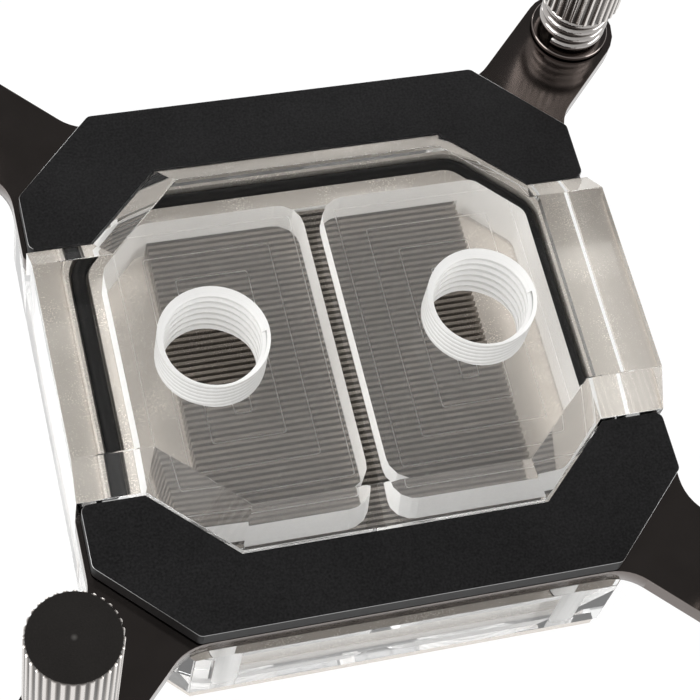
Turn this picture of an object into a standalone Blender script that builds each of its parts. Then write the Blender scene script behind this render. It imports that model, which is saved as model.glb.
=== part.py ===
"""CPU water block with a clear top, finned cold plate and spring-loaded thumb screws.

Units are metres, +Z is up, and the origin is the middle of the cold plate's
underside, the face that sits on the processor. +X points along the two ports.
"""

from math import cos, hypot, pi, radians, sin, sqrt

import bmesh
import bpy
from mathutils import Matrix

# Clear block and the flange of the cold plate under it
BLOCK_WIDTH = 0.0700
BLOCK_DEPTH = 0.0700
BLOCK_CHAMFER = 0.0101
FLANGE_THICKNESS = 0.0018
FLANGE_SETBACK = 0.0003
SHOULDER_HEIGHT = 0.0106

# Raised plateau of the clear block: how far the ends of its front wall and of its
# waist lie in from the block's sides and ends, and its slopes
FRONT_SIDE_INSET = 0.01715
FRONT_END_INSET = 0.00985
WAIST_SIDE_INSET = 0.0079
WAIST_END_INSET = 0.0187
SLOPE_RUN = 0.0038
SLOPE_RISE = 0.0037

# Clearance between pieces that touch on the real block
SEAT_GAP = 0.0003

# Covers and mounting brackets
COVER_THICKNESS = 0.0023
COVER_SIDE_SETBACK = 0.0004
COVER_END_SETBACK = 0.0008
COVER_END_RADIUS = 0.0009
COVER_EDGE_CHAMFER = 0.00015
BRACKET_THICKNESS = 0.0024
BRACKET_OVERHANG = 0.0002
BRACKET_EDGE_CHAMFER = 0.0003
ARM_WIDTH = 0.0117
ARM_NECK_RADIUS = 0.0060
ARM_TIP_FLAT = 0.0002

# Finned land of the cold plate, set in from the block's sides and ends
LAND_SIDE_INSET = 0.0047
LAND_END_INSET = 0.0083
LAND_CHAMFER = 0.0089
LAND_HEIGHT = 0.0030
LAND_CORNER_RADIUS = 0.0012
FIN_PITCH = 0.00081
FIN_THICKNESS = 0.00040
FIN_HEIGHT = 0.0030
FIN_SIDE_MARGIN = 0.0106
FIN_END_MARGIN = 0.0070

# Seal ring and its groove
SEAL_DIAMETER = 0.0018
SEAL_INSET = 0.0016
SEAL_CORNER_RADIUS = 0.0040

# Water chambers and ports
WEB_WIDTH = 0.0024
CHAMBER_SIDE_WALL = 0.0007
CHAMBER_END_WALL = 0.00605
CHAMBER_CORNER_CUT = 0.0054
CHAMBER_INNER_RADIUS = 0.0030
CHAMBER_OUTER_RADIUS = 0.0020
PORT_SIDE_INSET = 0.0188
PORT_BORE = 0.01145
PORT_MOUTH = 0.01316
PORT_DEPTH = 0.0088

# Countersunk clamp screws, from under the flange up into the covers
SCREW_DIAMETER = 0.0025
SCREW_HEAD_DIAMETER = 0.0042
SCREW_HEAD_HEIGHT = 0.0010
SCREW_SOCKET_WIDTH = 0.0015
SCREW_SOCKET_DEPTH = 0.0007
SCREW_SIDE_INSET = 0.0144
SCREW_EDGE_DISTANCE = 0.0030
SCREW_BITE = 0.0014

# Spring-loaded thumb screws on the square hole pattern of the socket
HOLE_PATTERN = 0.0800
SHANK_DIAMETER = 0.0044
SHANK_HOLE = 0.0054
TIP_DIAMETER = 0.0038
TIP_LENGTH = 0.0050
TIP_REACH = 0.0110
HEAD_DIAMETER = 0.0100
HEAD_HEIGHT = 0.0178
HEAD_CHAMFER = 0.0003
HEAD_LIFT = 0.0076
FLUTE_COUNT = 32
FLUTE_DEPTH = 0.00034
CLIP_DIAMETER = 0.0086
CLIP_THICKNESS = 0.0006
CLIP_NECK = 0.0032
SEAT_DIAMETER = 0.0100
SEAT_THICKNESS = 0.0005
WIRE_DIAMETER = 0.0012
COIL_DIAMETER = 0.0076
COIL_TURNS = 3.25
COIL_TURN_STEPS = 14

# How far a cutter stands past the face that it opens
OVERCUT = 0.0005
ARC_STEPS = 4

# Plan sizes that follow from the sizes above
FRONT_HALF_WIDTH = BLOCK_WIDTH / 2 - FRONT_SIDE_INSET
FRONT_HALF_DEPTH = BLOCK_DEPTH / 2 - FRONT_END_INSET
WAIST_HALF_WIDTH = BLOCK_WIDTH / 2 - WAIST_SIDE_INSET
WAIST_HALF_DEPTH = BLOCK_DEPTH / 2 - WAIST_END_INSET
LAND_WIDTH = BLOCK_WIDTH - 2 * LAND_SIDE_INSET
LAND_DEPTH = BLOCK_DEPTH - 2 * LAND_END_INSET
FIN_FIELD_WIDTH = LAND_WIDTH - 2 * FIN_SIDE_MARGIN
FIN_FIELD_DEPTH = LAND_DEPTH - 2 * FIN_END_MARGIN
PORT_PLACE = BLOCK_WIDTH / 2 - PORT_SIDE_INSET
SCREW_PLACE = BLOCK_WIDTH / 2 - SCREW_SIDE_INSET

# Heights that follow from the sizes above
FLANGE_TOP = FLANGE_THICKNESS
SHOULDER_TOP = FLANGE_TOP + SEAT_GAP + SHOULDER_HEIGHT
BRACKET_BOTTOM = SHOULDER_TOP + SEAT_GAP
BRACKET_TOP = BRACKET_BOTTOM + BRACKET_THICKNESS
COVER_BOTTOM = BRACKET_TOP + SEAT_GAP
COVER_TOP = COVER_BOTTOM + COVER_THICKNESS
PLATEAU_TOP = COVER_TOP + SLOPE_RISE
LAND_TOP = FLANGE_TOP + LAND_HEIGHT
FIN_TOP = LAND_TOP + FIN_HEIGHT
CHAMBER_TOP = PLATEAU_TOP - PORT_DEPTH
HEAD_BOTTOM = BRACKET_TOP + HEAD_LIFT

CORNERS = {
    "front_left": (-1, -1),
    "front_right": (1, -1),
    "back_left": (-1, 1),
    "back_right": (1, 1),
}


def clear_scene():
    for obj in list(bpy.data.objects):
        bpy.data.objects.remove(obj, do_unlink=True)


def new_collection(name):
    collection = bpy.data.collections.new(name)
    bpy.context.scene.collection.children.link(collection)
    return collection


def new_material(name, color, roughness, metallic, transmission=0.0):
    material = bpy.data.materials.new(name)
    material.use_nodes = True
    shader = material.node_tree.nodes["Principled BSDF"]
    shader.inputs["Base Color"].default_value = (*color, 1.0)
    shader.inputs["Roughness"].default_value = roughness
    shader.inputs["Metallic"].default_value = metallic
    shader.inputs["Transmission Weight"].default_value = transmission
    return material


def evaluated_mesh(obj):
    """The mesh of an object with its modifiers or curve settings applied."""
    bpy.context.view_layer.update()
    depsgraph = bpy.context.evaluated_depsgraph_get()
    return bpy.data.meshes.new_from_object(obj.evaluated_get(depsgraph))


def replace_by_mesh(obj, name, collection, weld=0.0):
    """Swap a curve or a modified object for the plain mesh that it makes."""
    mesh = evaluated_mesh(obj)
    mesh.transform(obj.matrix_world)
    if weld:
        bm = bmesh.new()
        bm.from_mesh(mesh)
        bmesh.ops.remove_doubles(bm, verts=bm.verts, dist=weld)
        bmesh.ops.recalc_face_normals(bm, faces=bm.faces)
        bm.to_mesh(mesh)
        bm.free()
    bpy.data.objects.remove(obj, do_unlink=True)
    result = bpy.data.objects.new(name, mesh)
    collection.objects.link(result)
    return result


def rounded(corners, steps=ARC_STEPS):
    """An outline from (x, y, radius) corners, with each radius turned into an arc."""
    outline = []
    count = len(corners)
    for index, (x, y, radius) in enumerate(corners):
        if radius <= 0.0:
            outline.append((x, y))
            continue
        before = corners[index - 1]
        after = corners[(index + 1) % count]
        to_before = unit(before[0] - x, before[1] - y)
        to_after = unit(after[0] - x, after[1] - y)
        cosine = to_before[0] * to_after[0] + to_before[1] * to_after[1]
        half_sine = sqrt((1.0 - cosine) / 2.0)
        half_cosine = sqrt((1.0 + cosine) / 2.0)
        bisector = unit(to_before[0] + to_after[0], to_before[1] + to_after[1])
        reach = radius / half_sine
        centre = (x + bisector[0] * reach, y + bisector[1] * reach)
        tangent = radius * half_cosine / half_sine
        start = (x + to_before[0] * tangent, y + to_before[1] * tangent)
        end = (x + to_after[0] * tangent, y + to_after[1] * tangent)
        outline += arc(centre, start, end, radius, steps)
    return outline


def unit(x, y):
    length = hypot(x, y)
    return x / length, y / length


def arc(centre, start, end, radius, steps):
    """Points from start to end round a centre, the short way."""
    points = []
    for step in range(steps + 1):
        share = step / steps
        x = start[0] + (end[0] - start[0]) * share - centre[0]
        y = start[1] + (end[1] - start[1]) * share - centre[1]
        x, y = unit(x, y)
        points.append((centre[0] + x * radius, centre[1] + y * radius))
    return points


def chamfered_rectangle(half_width, half_depth, chamfer, inset=0.0, radius=0.0):
    """Corners of a rectangle with cut corners, all its sides moved in by the inset."""
    x = half_width - inset
    y = half_depth - inset
    cut = chamfer - inset * (2.0 - sqrt(2.0))
    return [
        (x - cut, -y, radius),
        (x, cut - y, radius),
        (x, y - cut, radius),
        (x - cut, y, radius),
        (cut - x, y, radius),
        (-x, y - cut, radius),
        (-x, cut - y, radius),
        (cut - x, -y, radius),
    ]


def plateau_line(inset):
    """Half widths and depths of the plateau's wall line, moved in by the inset."""
    along = unit(WAIST_HALF_WIDTH - FRONT_HALF_WIDTH, WAIST_HALF_DEPTH - FRONT_HALF_DEPTH)
    start_x = FRONT_HALF_WIDTH + along[1] * inset
    start_y = FRONT_HALF_DEPTH - along[0] * inset
    slant = along[0] / along[1]
    new_front_y = FRONT_HALF_DEPTH - inset
    new_waist_y = WAIST_HALF_DEPTH - inset
    return {
        "front_x": start_x + (new_front_y - start_y) * slant,
        "front_y": new_front_y,
        "waist_x": start_x + (new_waist_y - start_y) * slant,
        "waist_y": new_waist_y,
    }


def plate(name, outline, bottom, top, collection):
    """A flat plate of one outline, drawn as a filled 2D curve."""
    curve = bpy.data.curves.new(name, "CURVE")
    curve.dimensions = "2D"
    curve.fill_mode = "BOTH"
    curve.extrude = (top - bottom) / 2
    spline = curve.splines.new("POLY")
    spline.points.add(len(outline) - 1)
    for point, (x, y) in zip(spline.points, outline):
        point.co = (x, y, 0.0, 1.0)
    spline.use_cyclic_u = True
    obj = bpy.data.objects.new(name + "_curve", curve)
    obj.location.z = (top + bottom) / 2
    collection.objects.link(obj)
    bpy.context.view_layer.update()
    return replace_by_mesh(obj, name, collection, weld=1e-7)


def cylinder(name, x, y, diameter, bottom, top, collection, segments=28):
    """An upright cylinder, or a prism where it has few sides."""
    bm = bmesh.new()
    bmesh.ops.create_cone(
        bm,
        cap_ends=True,
        segments=segments,
        radius1=diameter / 2,
        radius2=diameter / 2,
        depth=top - bottom,
    )
    bmesh.ops.translate(bm, verts=bm.verts, vec=(x, y, (top + bottom) / 2))
    return mesh_object(name, bm, collection)


def mesh_object(name, bm, collection):
    mesh = bpy.data.meshes.new(name)
    bm.to_mesh(mesh)
    bm.free()
    obj = bpy.data.objects.new(name, mesh)
    collection.objects.link(obj)
    return obj


def turned(name, profile, collection, steps=32):
    """A turned piece from (radius, height) points that run down its outer side."""
    bm = bmesh.new()
    verts = [bm.verts.new((radius, 0.0, height)) for radius, height in profile]
    for first, second in zip(verts, verts[1:]):
        bm.edges.new((first, second))
    if profile[0][0] > 0.0:
        bm.edges.new((verts[-1], verts[0]))
    obj = mesh_object(name + "_profile", bm, collection)
    screw = obj.modifiers.new("turn", "SCREW")
    screw.steps = steps
    screw.render_steps = steps
    screw.use_merge_vertices = True
    screw.merge_threshold = 1e-6
    screw.use_smooth_shade = False
    return replace_by_mesh(obj, name, collection)


def tube(name, points, diameter, closed, collection):
    """A round wire or cord along a line of points."""
    curve = bpy.data.curves.new(name, "CURVE")
    curve.dimensions = "3D"
    curve.bevel_depth = diameter / 2
    curve.bevel_resolution = 2
    curve.use_fill_caps = not closed
    spline = curve.splines.new("POLY")
    spline.points.add(len(points) - 1)
    for point, position in zip(spline.points, points):
        point.co = (*position, 1.0)
    spline.use_cyclic_u = closed
    obj = bpy.data.objects.new(name + "_curve", curve)
    collection.objects.link(obj)
    bpy.context.view_layer.update()
    return replace_by_mesh(obj, name, collection, weld=1e-7)


def loft(name, rings, collection):
    """A closed body through rings of points, one above the other."""
    bm = bmesh.new()
    loops = []
    for ring in rings:
        verts = [bm.verts.new(point) for point in ring]
        loops.append([bm.edges.new(pair) for pair in zip(verts, verts[1:] + verts[:1])])
    for lower, upper in zip(loops, loops[1:]):
        bmesh.ops.bridge_loops(bm, edges=lower + upper)
    bmesh.ops.holes_fill(bm, edges=loops[0] + loops[-1], sides=len(rings[0]))
    bmesh.ops.recalc_face_normals(bm, faces=bm.faces)
    return mesh_object(name, bm, collection)


def combine(obj, tool, operation):
    """Cut a tool object from a piece, or join it on."""
    modifier = obj.modifiers.new(tool.name, "BOOLEAN")
    modifier.operation = operation
    modifier.solver = "EXACT"
    modifier.object = tool
    tool.hide_render = True
    tool.display_type = "WIRE"


def finish(obj, material, smooth_angle=None):
    obj.data.materials.clear()
    obj.data.materials.append(material)
    if smooth_angle is not None:
        obj.data.shade_smooth()
        obj.data.set_sharp_from_angle(angle=radians(smooth_angle))
    return obj


def chamfer_top_edges(obj, height, width):
    """Chamfer the edges that run round a plate's flat top."""
    bm = bmesh.new()
    bm.from_mesh(obj.data)
    near = 1e-6
    edges = []
    for edge in bm.edges:
        at_top = all(abs(vert.co.z - height) < near for vert in edge.verts)
        if at_top and edge.calc_face_angle(0.0) > radians(60):
            edges.append(edge)
    bmesh.ops.bevel(
        bm,
        geom=edges,
        offset=width,
        offset_type="OFFSET",
        segments=1,
        profile=0.5,
        affect="EDGES",
        clamp_overlap=True,
        material=-1,
    )
    bm.to_mesh(obj.data)
    bm.free()


def build_cold_plate(parts, cutters, material):
    """Flange, raised land with its seal groove, and the fins, all one piece."""
    half_width = BLOCK_WIDTH / 2 - FLANGE_SETBACK
    half_depth = BLOCK_DEPTH / 2 - FLANGE_SETBACK
    outline = rounded(chamfered_rectangle(half_width, half_depth, BLOCK_CHAMFER))
    cold_plate = plate("cold_plate", outline, 0.0, FLANGE_TOP, parts)

    land_outline = rounded(land_corners(0.0, LAND_CORNER_RADIUS))
    land = plate("land", land_outline, FLANGE_TOP / 2, LAND_TOP, cutters)
    combine(cold_plate, land, "UNION")
    combine(cold_plate, seal_groove(cutters), "DIFFERENCE")
    combine(cold_plate, fin_comb(cutters), "UNION")
    for corner, (side, end) in CORNERS.items():
        combine(cold_plate, countersink(corner, side, end, cutters), "DIFFERENCE")
    return finish(cold_plate, material)


def land_corners(inset, radius):
    return chamfered_rectangle(LAND_WIDTH / 2, LAND_DEPTH / 2, LAND_CHAMFER, inset, radius)


def seal_groove(cutters):
    """The ring-shaped groove in the land, a seat gap wider and deeper than the seal."""
    half = SEAL_DIAMETER / 2 + SEAT_GAP
    bottom = LAND_TOP - SEAL_DIAMETER - SEAT_GAP
    outer = rounded(land_corners(SEAL_INSET - half, SEAL_CORNER_RADIUS + half))
    inner = rounded(land_corners(SEAL_INSET + half, SEAL_CORNER_RADIUS - half))
    groove = plate("seal_groove", outer, bottom, LAND_TOP + OVERCUT, cutters)
    core = plate("seal_groove_core", inner, bottom - OVERCUT, LAND_TOP + 2 * OVERCUT, cutters)
    combine(groove, core, "DIFFERENCE")
    return groove


def fin_comb(cutters):
    """The fin field as one comb: its section runs front to back, its length along X."""
    fin_count = int((FIN_FIELD_DEPTH - FIN_THICKNESS) / FIN_PITCH) + 1
    root = LAND_TOP - OVERCUT
    first = -(fin_count - 1) * FIN_PITCH / 2 - FIN_THICKNESS / 2
    section = []
    for index in range(fin_count):
        start = first + index * FIN_PITCH
        end = start + FIN_THICKNESS
        section += [(start, LAND_TOP), (start, FIN_TOP), (end, FIN_TOP), (end, LAND_TOP)]
    section[0] = (section[0][0], root)
    section[-1] = (section[-1][0], root)
    comb = plate("fin_comb", section, -FIN_FIELD_WIDTH / 2, FIN_FIELD_WIDTH / 2, cutters)
    for vert in comb.data.vertices:
        y, z, x = vert.co
        vert.co = (x, y, z)
    return comb


def screw_place(side, end):
    """Where a clamp screw stands, set in from the flange's front or back edge."""
    flange_edge = BLOCK_DEPTH / 2 - FLANGE_SETBACK
    return side * SCREW_PLACE, end * (flange_edge - SCREW_EDGE_DISTANCE)


def screw_bore(name, side, end, bottom, top, cutters):
    """A straight hole that clears a clamp screw by the seat gap."""
    x, y = screw_place(side, end)
    diameter = SCREW_DIAMETER + 2 * SEAT_GAP
    return cylinder(name, x, y, diameter, bottom, top, cutters, segments=24)


def countersink(corner, side, end, cutters):
    """The countersunk hole for one clamp screw, a seat gap larger than the screw."""
    clearance = 2 * SEAT_GAP
    straight = SCREW_DIAMETER + clearance
    slope = (SCREW_HEAD_DIAMETER - SCREW_DIAMETER) / SCREW_HEAD_HEIGHT
    head = SCREW_HEAD_DIAMETER + clearance
    profile = [
        (0.0, FLANGE_TOP + OVERCUT),
        (straight / 2, FLANGE_TOP + OVERCUT),
        (straight / 2, SCREW_HEAD_HEIGHT),
        (head / 2, 0.0),
        (head / 2 + slope * OVERCUT / 2, -OVERCUT),
        (0.0, -OVERCUT),
    ]
    hole = turned("countersink_" + corner, profile, cutters, steps=24)
    x, y = screw_place(side, end)
    hole.location = (x, y, 0.0)
    return hole


def build_acrylic_top(parts, cutters, material):
    """The clear block: shoulders, sloped plateau, chambers, ports and screw holes."""
    outline = rounded(chamfered_rectangle(BLOCK_WIDTH / 2, BLOCK_DEPTH / 2, BLOCK_CHAMFER))
    block = plate("acrylic_top", outline, FLANGE_TOP + SEAT_GAP, PLATEAU_TOP, parts)
    for end in (-1, 1):
        combine(block, shoulder_cutter(end, cutters), "DIFFERENCE")

    below = FLANGE_TOP - OVERCUT
    recess_outline = rounded(land_corners(-SEAT_GAP, LAND_CORNER_RADIUS + SEAT_GAP))
    recess = plate("land_recess", recess_outline, below, LAND_TOP + SEAT_GAP, cutters)
    combine(block, recess, "DIFFERENCE")

    half_x = FIN_FIELD_WIDTH / 2 + SEAT_GAP
    half_y = FIN_FIELD_DEPTH / 2 + SEAT_GAP
    well_outline = [(-half_x, -half_y), (half_x, -half_y), (half_x, half_y), (-half_x, half_y)]
    well = plate("fin_well", well_outline, LAND_TOP - OVERCUT, FIN_TOP + SEAT_GAP, cutters)
    combine(block, well, "DIFFERENCE")

    for side, label in ((-1, "left"), (1, "right")):
        outline = rounded(chamber_corners(side))
        chamber = plate("chamber_" + label, outline, LAND_TOP, CHAMBER_TOP, cutters)
        combine(block, chamber, "DIFFERENCE")
        combine(block, port_cutter(side, label, cutters), "DIFFERENCE")

    above = SHOULDER_TOP + OVERCUT
    for corner, (side, end) in CORNERS.items():
        bore = screw_bore("block_bore_" + corner, side, end, below, above, cutters)
        combine(block, bore, "DIFFERENCE")
    return finish(block, material)


def shoulder_cutter(end, cutters):
    """What is milled away over one shoulder: straight walls, then the sloped faces."""
    outside = BLOCK_WIDTH
    levels = [
        (SHOULDER_TOP, 0.0),
        (COVER_TOP, 0.0),
        (PLATEAU_TOP + OVERCUT, SLOPE_RUN * (1.0 + OVERCUT / SLOPE_RISE)),
    ]
    rings = []
    for height, inset in levels:
        line = plateau_line(inset)
        half = [(line["front_x"], line["front_y"]), (line["waist_x"], line["waist_y"])]
        half += [(outside, line["waist_y"]), (outside, outside)]
        points = half + [(-x, y) for x, y in reversed(half)]
        rings.append([(x, y * end, height) for x, y in points])
    return loft("shoulder_cutter_" + end_name(end), rings, cutters)


def end_name(end):
    return "back" if end > 0 else "front"


def chamber_corners(side):
    """Plan of one chamber: square beside the web, corners cut on its outer side."""
    near = WEB_WIDTH / 2
    far = WAIST_HALF_WIDTH - CHAMBER_SIDE_WALL
    half = FRONT_HALF_DEPTH - CHAMBER_END_WALL
    cut = CHAMBER_CORNER_CUT
    corners = [
        (near, -half, CHAMBER_INNER_RADIUS),
        (far - cut, -half, CHAMBER_OUTER_RADIUS),
        (far, cut - half, CHAMBER_OUTER_RADIUS),
        (far, half - cut, CHAMBER_OUTER_RADIUS),
        (far - cut, half, CHAMBER_OUTER_RADIUS),
        (near, half, CHAMBER_INNER_RADIUS),
    ]
    return [(side * x, y, radius) for x, y, radius in corners]


def port_cutter(side, label, cutters):
    """One port: a straight bore with a chamfered mouth for the fitting's seal."""
    lead = (PORT_MOUTH - PORT_BORE) / 2
    profile = [
        (0.0, PLATEAU_TOP + OVERCUT),
        (PORT_MOUTH / 2 + OVERCUT, PLATEAU_TOP + OVERCUT),
        (PORT_BORE / 2, PLATEAU_TOP - lead),
        (PORT_BORE / 2, CHAMBER_TOP - OVERCUT),
        (0.0, CHAMBER_TOP - OVERCUT),
    ]
    port = turned("port_" + label, profile, cutters, steps=48)
    port.location = (side * PORT_PLACE, 0.0, 0.0)
    return port


def build_main_seal(parts, material):
    outline = rounded(land_corners(SEAL_INSET, SEAL_CORNER_RADIUS))
    height = LAND_TOP - SEAL_DIAMETER / 2
    points = [(x, y, height) for x, y in outline]
    seal = tube("main_seal", points, SEAL_DIAMETER, True, parts)
    return finish(seal, material, smooth_angle=50)


def build_cover(end, parts, cutters, material):
    """One cover: a bar with cut outer corners that wraps the plateau's end."""
    line = plateau_line(-SEAT_GAP)
    half_width = BLOCK_WIDTH / 2 - COVER_SIDE_SETBACK
    half_depth = BLOCK_DEPTH / 2 - COVER_END_SETBACK
    corners = [
        (line["front_x"], line["front_y"], 0.0),
        (line["waist_x"], line["waist_y"], 0.0),
        (half_width, line["waist_y"], COVER_END_RADIUS),
        (half_width, half_depth - BLOCK_CHAMFER, COVER_END_RADIUS),
        (half_width - BLOCK_CHAMFER, half_depth, COVER_END_RADIUS),
    ]
    outline = rounded(mirrored_outline(corners, end), steps=3)
    cover = plate(end_name(end) + "_cover", outline, COVER_BOTTOM, COVER_TOP, parts)
    chamfer_top_edges(cover, COVER_TOP, COVER_EDGE_CHAMFER)
    for corner, (side, own_end) in CORNERS.items():
        if own_end == end:
            top = COVER_BOTTOM + SCREW_BITE + SEAT_GAP
            name = "cover_bore_" + corner
            bore = screw_bore(name, side, end, COVER_BOTTOM - OVERCUT, top, cutters)
            combine(cover, bore, "DIFFERENCE")
    return finish(cover, material)


def mirrored_outline(corners, end):
    """Both halves of an outline that is given from its middle line outwards."""
    left = [(-x, y, radius) for x, y, radius in reversed(corners)]
    return [(x, y * end, radius) for x, y, radius in corners + left]


def build_bracket(end, parts, cutters, material):
    """One bracket: the bar under a cover, with an arm and a screw pad at each end."""
    line = plateau_line(-SEAT_GAP)
    half_width = BLOCK_WIDTH / 2 + BRACKET_OVERHANG
    half_depth = BLOCK_DEPTH / 2 - COVER_END_SETBACK
    pad = HOLE_PATTERN / 2
    edge_shift = ARM_WIDTH / 2 * sqrt(2.0)
    tip_radius = (ARM_WIDTH - ARM_TIP_FLAT) / 2
    corners = [
        (line["front_x"], line["front_y"], 0.0),
        (line["waist_x"], line["waist_y"], 0.0),
        (half_width, line["waist_y"], COVER_END_RADIUS),
        (half_width, half_width - edge_shift, ARM_NECK_RADIUS),
        (pad + edge_shift, pad, tip_radius),
        (pad, pad + edge_shift, tip_radius),
        (half_depth - edge_shift, half_depth, ARM_NECK_RADIUS),
    ]
    outline = rounded(mirrored_outline(corners, end), steps=6)
    bracket = plate(end_name(end) + "_bracket", outline, BRACKET_BOTTOM, BRACKET_TOP, parts)
    chamfer_top_edges(bracket, BRACKET_TOP, BRACKET_EDGE_CHAMFER)
    low = BRACKET_BOTTOM - OVERCUT
    high = BRACKET_TOP + OVERCUT
    for corner, (side, own_end) in CORNERS.items():
        if own_end == end:
            bore = screw_bore("bracket_bore_" + corner, side, end, low, high, cutters)
            combine(bracket, bore, "DIFFERENCE")
            name = "shank_hole_" + corner
            hole = cylinder(name, side * pad, end * pad, SHANK_HOLE, low, high, cutters)
            combine(bracket, hole, "DIFFERENCE")
    return finish(bracket, material)


def build_clamp_screws(parts, cutters, material):
    """Four countersunk screws, head down, that clamp plate, block, bracket and cover."""
    length = COVER_BOTTOM + SCREW_BITE
    profile = [
        (0.0, length),
        (SCREW_DIAMETER / 2 - SEAT_GAP, length),
        (SCREW_DIAMETER / 2, length - SEAT_GAP),
        (SCREW_DIAMETER / 2, SCREW_HEAD_HEIGHT),
        (SCREW_HEAD_DIAMETER / 2, 0.0),
        (0.0, 0.0),
    ]
    blank = turned("clamp_screw_blank", profile, cutters, steps=16)
    socket_diameter = SCREW_SOCKET_WIDTH / cos(pi / 6)
    depth = SCREW_SOCKET_DEPTH
    socket = cylinder(
        "hexagon_socket", 0.0, 0.0, socket_diameter, -OVERCUT, depth, cutters, segments=6
    )
    mesh = cut_mesh(blank, socket)
    for corner, (side, end) in CORNERS.items():
        screw = bpy.data.objects.new("clamp_screw_" + corner, mesh)
        x, y = screw_place(side, end)
        screw.location = (x, y, 0.0)
        parts.objects.link(screw)
        finish(screw, material, smooth_angle=25)


def cut_mesh(blank, cutter):
    """The blank less the cutter, as a mesh that several objects can share."""
    combine(blank, cutter, "DIFFERENCE")
    mesh = evaluated_mesh(blank)
    bpy.data.objects.remove(blank, do_unlink=True)
    bpy.data.objects.remove(cutter, do_unlink=True)
    return mesh


def thumb_screw_mesh(cutters):
    """Fluted head, shank, clip groove and plain tip, turned about the Z axis."""
    head = HEAD_DIAMETER / 2
    shank = SHANK_DIAMETER / 2
    tip = TIP_DIAMETER / 2
    head_top = HEAD_BOTTOM + HEAD_HEIGHT
    groove_top = BRACKET_BOTTOM
    groove_bottom = groove_top - CLIP_THICKNESS - 2 * SEAT_GAP
    tip_end = BRACKET_BOTTOM - TIP_REACH
    profile = [
        (0.0, head_top),
        (head - HEAD_CHAMFER, head_top),
        (head, head_top - HEAD_CHAMFER),
        (head, HEAD_BOTTOM + HEAD_CHAMFER),
        (head - HEAD_CHAMFER, HEAD_BOTTOM),
        (shank, HEAD_BOTTOM),
        (shank, groove_top),
        (CLIP_NECK / 2, groove_top),
        (CLIP_NECK / 2, groove_bottom),
        (shank, groove_bottom),
        (shank, tip_end + TIP_LENGTH),
        (tip, tip_end + TIP_LENGTH - (shank - tip)),
        (tip, tip_end + SEAT_GAP),
        (tip - SEAT_GAP, tip_end),
        (0.0, tip_end),
    ]
    blank = turned("thumb_screw_blank", profile, cutters, steps=FLUTE_COUNT)
    return cut_mesh(blank, flute_cutter(head, head_top, cutters))


def flute_cutter(head, head_top, cutters):
    """A ring of upright square bars whose inner corners cut the head's V flutes."""
    bm = bmesh.new()
    bar = FLUTE_DEPTH * 2
    for index in range(FLUTE_COUNT):
        angle = 2 * pi * (index + 0.5) / FLUTE_COUNT
        made = bmesh.ops.create_cone(
            bm, cap_ends=True, segments=4, radius1=bar, radius2=bar, depth=HEAD_HEIGHT + 2 * OVERCUT
        )
        reach = head - FLUTE_DEPTH + bar
        middle = head_top - HEAD_HEIGHT / 2
        bmesh.ops.rotate(bm, verts=made["verts"], matrix=Matrix.Rotation(angle, 3, "Z"))
        offset = (reach * cos(angle), reach * sin(angle), middle)
        bmesh.ops.translate(bm, verts=made["verts"], vec=offset)
    return mesh_object("flute_cutter", bm, cutters)


def clip_mesh(cutters):
    """A retaining clip: a flat ring with one open side that snaps into the groove."""
    bottom = clip_bottom()
    profile = [
        (CLIP_DIAMETER / 2, bottom + CLIP_THICKNESS),
        (CLIP_DIAMETER / 2, bottom),
        (CLIP_NECK / 2 + SEAT_GAP, bottom),
        (CLIP_NECK / 2 + SEAT_GAP, bottom + CLIP_THICKNESS),
    ]
    ring = turned("clip_blank", profile, cutters, steps=28)
    mouth = CLIP_NECK + SEAT_GAP
    outline = [(-mouth / 2, 0.0), (mouth / 2, 0.0)]
    outline += [(mouth / 2, -CLIP_DIAMETER), (-mouth / 2, -CLIP_DIAMETER)]
    top = bottom + CLIP_THICKNESS + OVERCUT
    slot = plate("clip_mouth", outline, bottom - OVERCUT, top, cutters)
    return cut_mesh(ring, slot)


def clip_bottom():
    return BRACKET_BOTTOM - SEAT_GAP - CLIP_THICKNESS


def seat_mesh(cutters):
    bottom = BRACKET_TOP + SEAT_GAP
    hole = SHANK_DIAMETER / 2 + SEAT_GAP
    profile = [
        (SEAT_DIAMETER / 2, bottom + SEAT_THICKNESS),
        (SEAT_DIAMETER / 2, bottom),
        (hole, bottom),
        (hole, bottom + SEAT_THICKNESS),
    ]
    ring = turned("seat_blank", profile, cutters, steps=28)
    mesh = ring.data
    bpy.data.objects.remove(ring, do_unlink=True)
    return mesh


def spring_mesh(cutters):
    """A coil spring that stands on its seat and reaches up to the screw's head."""
    bottom = BRACKET_TOP + SEAT_THICKNESS + 2 * SEAT_GAP + WIRE_DIAMETER / 2
    top = HEAD_BOTTOM - SEAT_GAP - WIRE_DIAMETER / 2
    count = round(COIL_TURNS * COIL_TURN_STEPS)
    points = []
    for index in range(count + 1):
        share = index / count
        angle = 2 * pi * COIL_TURNS * share
        radius = COIL_DIAMETER / 2
        height = bottom + (top - bottom) * share
        points.append((radius * cos(angle), radius * sin(angle), height))
    coil = tube("spring_coil", points, WIRE_DIAMETER, False, cutters)
    mesh = coil.data
    bpy.data.objects.remove(coil, do_unlink=True)
    return mesh


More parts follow.
